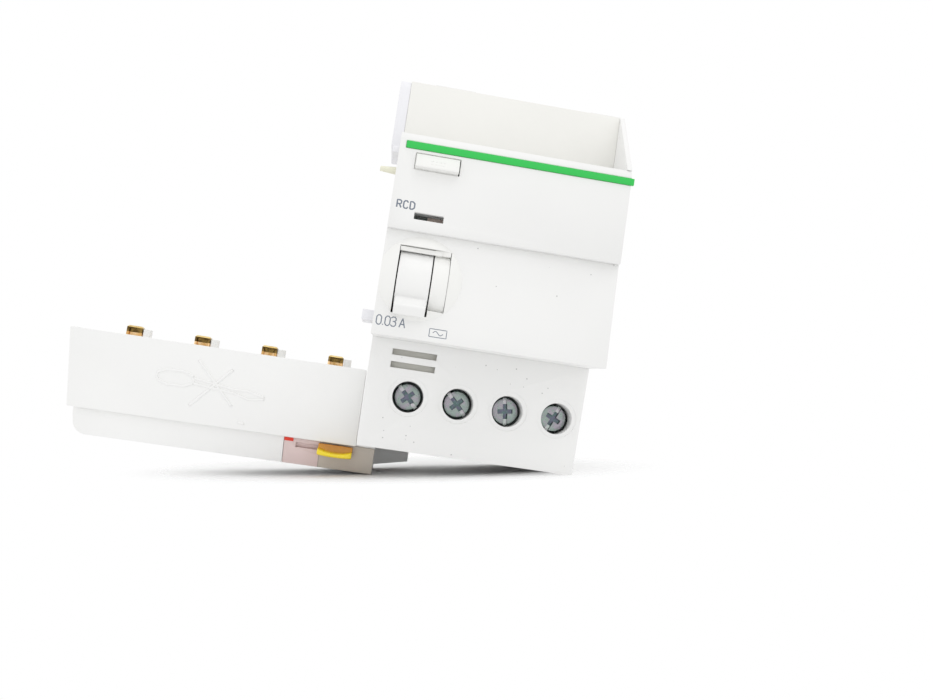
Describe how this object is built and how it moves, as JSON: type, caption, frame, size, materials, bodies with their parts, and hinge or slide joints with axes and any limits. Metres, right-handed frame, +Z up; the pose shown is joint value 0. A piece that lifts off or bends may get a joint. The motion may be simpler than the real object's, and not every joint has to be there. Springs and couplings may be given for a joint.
{
  "type": "residual current device",
  "caption": "Residual current add-on block for a modular breaker: rail-mounted unit with toggle and test button, and a sliding terminal block with contact pins and a lock.",
  "frame": {"origin": "centre of the main unit's rail seat: middle of its width, on the rail's front face and on the rail's centre line", "axes": "+X to the right along the rail, +Y into the wall, +Z up"},
  "size_m": [0.1266, 0.0695, 0.0986],
  "materials": {
    "housing_white": "fine moulded satin",
    "base_white": "fine moulded satin",
    "fascia_white": "fine moulded satin",
    "shoulder_beige": "fine moulded matt",
    "stripe_green": "smooth semi-gloss",
    "button_white": "smooth satin",
    "toggle_white": "smooth, worn at the edges",
    "bezel_white": "smooth satin",
    "lens_clear": "clear pane",
    "flag_red": "two-tone print",
    "marker_grey": "matt",
    "flange_white": "satin",
    "pin_ivory": "satin",
    "lever_grey": "matt",
    "spring_steel": "drawn wire",
    "bright_steel": "turned",
    "relay_shell": "pressed, plated",
    "core_ferrite": "lacquered strip core",
    "winding_enamel": "enamelled copper",
    "board_green": "solder resist over laminate",
    "resistor_body": "lacquered",
    "insulator_grey": "glass-filled matt",
    "screw_zinc": "zinc passivated",
    "cage_steel": "zinc passivated",
    "copper": "bare copper",
    "conductor_sleeve": "sleeved",
    "braid_copper": "woven",
    "pin_copper": "copper, heat tinted",
    "clip_white": "satin",
    "block_white": "fine moulded satin",
    "guard_white": "satin",
    "track_tan": "matt",
    "mark_red": "printed",
    "lock_yellow": "smooth"
  },
  "bodies": {
    "main_unit": {"front_cover": "housing_white", "terminal_shroud": "housing_white", "rear_base": "base_white", "upper_fascia": "fascia_white", "top_shoulder_cover": "shoulder_beige", "colour_stripe": "stripe_green", "toggle_bezel": "bezel_white", "toggle_side_cheek": "bezel_white", "window_lens": "lens_clear", "marker_backing": "marker_grey", "side_coupling_flange": "flange_white", "side_lugs": "flange_white", "test_button_spring": "spring_steel", "relay_spring": "spring_steel", "rail_clip_spring": "spring_steel", "test_contact": "spring_steel", "toggle_axle": "bright_steel", "trip_axle": "bright_steel", "case_screws": "bright_steel", "relay_case": "relay_shell", "toroid_core": "core_ferrite", "toroid_winding": "winding_enamel", "circuit_board": "board_green", "test_resistor": "resistor_body", "terminal_housing": "insulator_grey", "terminal_bars": "copper", "conductor_1": "conductor_sleeve", "conductor_2": "conductor_sleeve", "conductor_3": "conductor_sleeve", "conductor_4": "conductor_sleeve", "flexible_braids": "braid_copper"},
    "connection_block": {"block_casing": "block_white", "block_cover": "block_white", "block_carriage": "block_white", "screw_shield": "block_white", "pin_guards": "guard_white", "lock_track": "track_tan", "unlocked_mark": "mark_red", "busbars": "copper", "contact_pin_1": "pin_copper", "contact_pin_2": "pin_copper", "contact_pin_3": "pin_copper", "contact_pin_4": "pin_copper"},
    "lock_slide": {"lock_slide": "lock_yellow"},
    "toggle": {"toggle_handle": "toggle_white"},
    "fault_flag": {"fault_flag": "flag_red"},
    "test_button": {"test_button": "button_white"},
    "trip_link": {"trip_lever": "lever_grey", "trip_pin": "pin_ivory"},
    "relay_plunger": {"relay_plunger": "bright_steel"},
    "rail_clip": {"rail_clip": "clip_white"},
    "screw_1": {"terminal_screw_1": "screw_zinc"},
    "cage_1": {"terminal_cage_1": "cage_steel"},
    "screw_2": {"terminal_screw_2": "screw_zinc"},
    "cage_2": {"terminal_cage_2": "cage_steel"},
    "screw_3": {"terminal_screw_3": "screw_zinc"},
    "cage_3": {"terminal_cage_3": "cage_steel"},
    "screw_4": {"terminal_screw_4": "screw_zinc"},
    "cage_4": {"terminal_cage_4": "cage_steel"}
  },
  "joints": [
    {"name": "block_slide", "type": "slide", "parent": "main_unit", "child": "connection_block", "axis": [0, 0, 1], "range_m": [-0.015, 0.0076], "deforming": ["flexible_braids"]},
    {"name": "lock_slide_travel", "type": "slide", "parent": "connection_block", "child": "lock_slide", "axis": [-1, 0, 0], "range_m": [0, 0.0086]},
    {"name": "toggle_hinge", "type": "hinge", "parent": "main_unit", "child": "toggle", "pos_m": [-0.0193, -0.054, -0.0094], "axis": [-1, 0, 0], "range_deg": [0, 71]},
    {"name": "flag_slide", "type": "slide", "parent": "main_unit", "child": "fault_flag", "axis": [-1, 0, 0], "range_m": [0, 0.0033]},
    {"name": "test_button_press", "type": "slide", "parent": "main_unit", "child": "test_button", "axis": [0, 1, 0], "range_m": [0, 0.0018], "stiffness_N_per_m": 200, "deforming": ["test_button_spring"]},
    {"name": "trip_lever_hinge", "type": "hinge", "parent": "main_unit", "child": "trip_link", "pos_m": [-0.02445, -0.05, 0.009], "axis": [-1, 0, 0], "range_deg": [0, 12], "stiffness_Nm_per_rad": 0.02},
    {"name": "relay_plunger_slide", "type": "slide", "parent": "main_unit", "child": "relay_plunger", "axis": [0, 0, -1], "range_m": [0, 0.002], "deforming": ["relay_spring"]},
    {"name": "rail_clip_slide", "type": "slide", "parent": "main_unit", "child": "rail_clip", "axis": [0, 0, -1], "range_m": [0, 0.005], "stiffness_N_per_m": 300, "deforming": ["rail_clip_spring"]},
    {"name": "screw_1_turn", "type": "hinge", "parent": "main_unit", "child": "screw_1", "pos_m": [-0.0163, -0.0376, -0.0351], "axis": [0, 1, 0], "range_deg": [0, 1350]},
    {"name": "cage_1_rise", "type": "slide", "parent": "main_unit", "child": "cage_1", "axis": [0, -1, 0], "range_m": [0, 0.003]},
    {"name": "screw_2_turn", "type": "hinge", "parent": "main_unit", "child": "screw_2", "pos_m": [-0.0039, -0.0376, -0.0351], "axis": [0, 1, 0], "range_deg": [0, 1350]},
    {"name": "cage_2_rise", "type": "slide", "parent": "main_unit", "child": "cage_2", "axis": [0, -1, 0], "range_m": [0, 0.003]},
    {"name": "screw_3_turn", "type": "hinge", "parent": "main_unit", "child": "screw_3", "pos_m": [0.0085, -0.0376, -0.0351], "axis": [0, 1, 0], "range_deg": [0, 1350]},
    {"name": "cage_3_rise", "type": "slide", "parent": "main_unit", "child": "cage_3", "axis": [0, -1, 0], "range_m": [0, 0.003]},
    {"name": "screw_4_turn", "type": "hinge", "parent": "main_unit", "child": "screw_4", "pos_m": [0.0209, -0.0376, -0.0351], "axis": [0, 1, 0], "range_deg": [0, 1350]},
    {"name": "cage_4_rise", "type": "slide", "parent": "main_unit", "child": "cage_4", "axis": [0, -1, 0], "range_m": [0, 0.003]}
  ],
  "couplings": [
    {"joint": "toggle_hinge", "follows": "flag_slide", "rad_per_m": 375.4},
    {"joint": "trip_lever_hinge", "follows": "relay_plunger_slide", "rad_per_m": 104.7},
    {"joint": "screw_1_turn", "follows": "cage_1_rise", "rad_per_m": 7853.9},
    {"joint": "screw_2_turn", "follows": "cage_2_rise", "rad_per_m": 7853.9},
    {"joint": "screw_3_turn", "follows": "cage_3_rise", "rad_per_m": 7853.9},
    {"joint": "screw_4_turn", "follows": "cage_4_rise", "rad_per_m": 7853.9}
  ]
}
